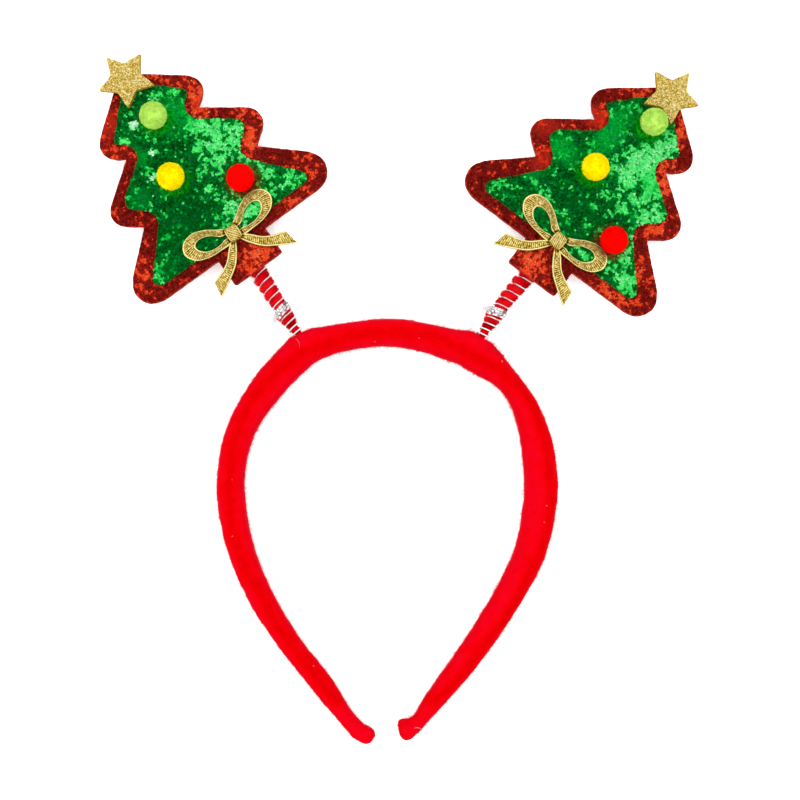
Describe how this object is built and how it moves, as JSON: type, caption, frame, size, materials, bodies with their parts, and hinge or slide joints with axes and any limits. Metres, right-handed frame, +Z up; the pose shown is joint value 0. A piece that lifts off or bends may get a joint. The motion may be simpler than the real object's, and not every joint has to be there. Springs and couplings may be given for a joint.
{
  "type": "christmas tree headband",
  "caption": "Felt-covered headband, open at the bottom, with glitter christmas trees bobbing on coil springs, trimmed with stars, bows and pompoms.",
  "frame": {"origin": "middle of the footprint, on the surface that the headband lies on", "axes": "+Z up from that surface, out of the trees' fronts; +Y from the hoop's tips to its crown; +X towards the tree named right"},
  "size_m": [0.2266, 0.2612, 0.0229],
  "materials": {
    "red_felt": "matt brushed felt",
    "silver_wire": "bright drawn wire",
    "red_pile": "short fluffy pile",
    "clear_film": "clear crumpled film",
    "red_glitter": "fine red glitter on felt board",
    "green_glitter": "coarse green glitter on felt",
    "gold_glitter": "fine gold glitter on foam",
    "gold_ribbon": "ribbed metallic ribbon",
    "lime_pompom": "short fluffy pile",
    "yellow_pompom": "short fluffy pile",
    "red_pompom": "short fluffy pile"
  },
  "bodies": {
    "root": {"headband_felt": "red_felt", "spring_wire_left": "silver_wire", "chenille_stem_left": "red_pile", "clear_tie_left": "clear_film", "tree_board_left": "red_glitter", "tree_panel_left": "green_glitter", "star_left": "gold_glitter", "bow_left": "gold_ribbon", "pompom_lime_left": "lime_pompom", "pompom_yellow_left": "yellow_pompom", "pompom_red_left": "red_pompom", "spring_wire_right": "silver_wire", "chenille_stem_right": "red_pile", "clear_tie_right": "clear_film", "tree_board_right": "red_glitter", "tree_panel_right": "green_glitter", "star_right": "gold_glitter", "bow_right": "gold_ribbon", "pompom_lime_right": "lime_pompom", "pompom_yellow_right": "yellow_pompom", "pompom_red_right": "red_pompom"}
  },
  "joints": []
}
